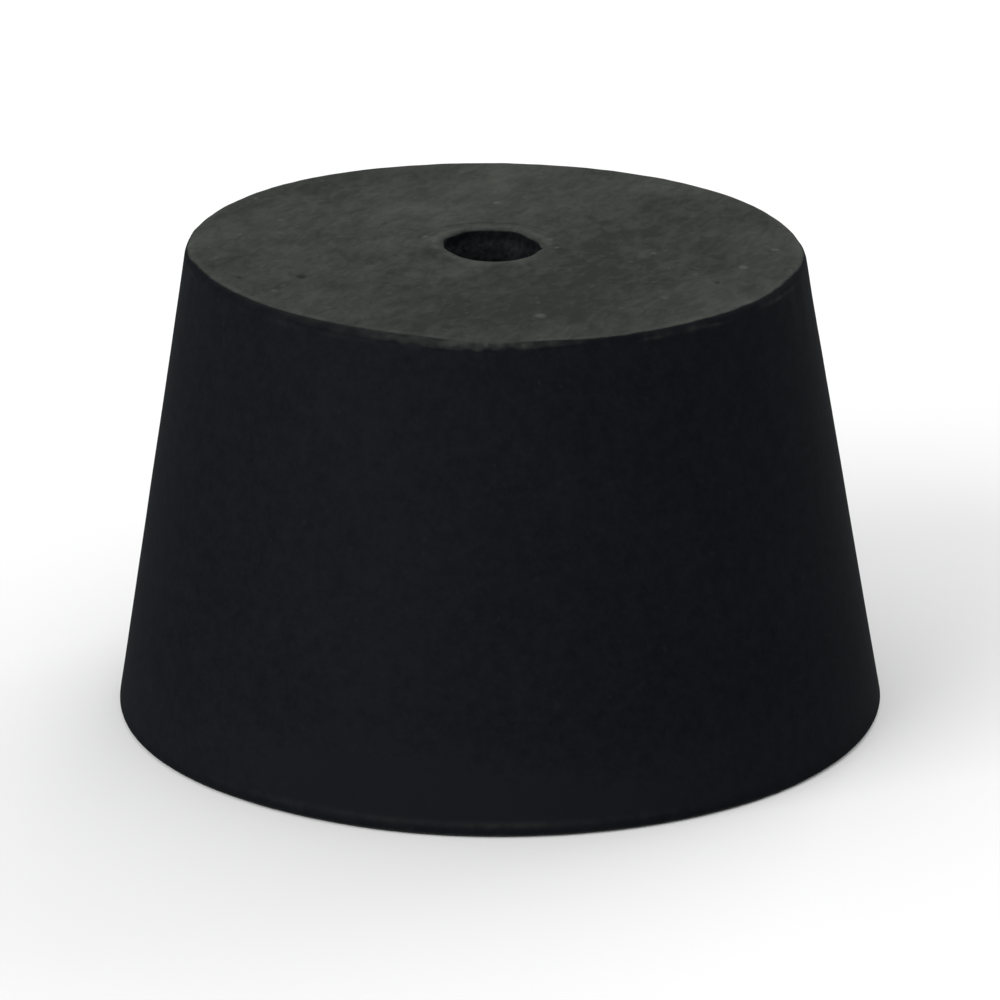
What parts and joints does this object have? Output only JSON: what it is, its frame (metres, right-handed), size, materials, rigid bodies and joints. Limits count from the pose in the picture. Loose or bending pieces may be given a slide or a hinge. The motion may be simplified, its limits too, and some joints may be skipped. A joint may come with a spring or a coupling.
{
  "type": "rubber stopper",
  "caption": "Tapered rubber stopper with a central bore for a glass tube, to seal the neck of a flask or bottle.",
  "frame": {"origin": "centre of the large end face, which the stopper stands on", "axes": "+Z along the bore, from the large end up to the small end"},
  "size_m": [0.0408, 0.0408, 0.0251],
  "materials": {
    "rubber": "matt, ground grey on the end faces"
  },
  "bodies": {
    "root": {"stopper": "rubber"}
  },
  "joints": []
}
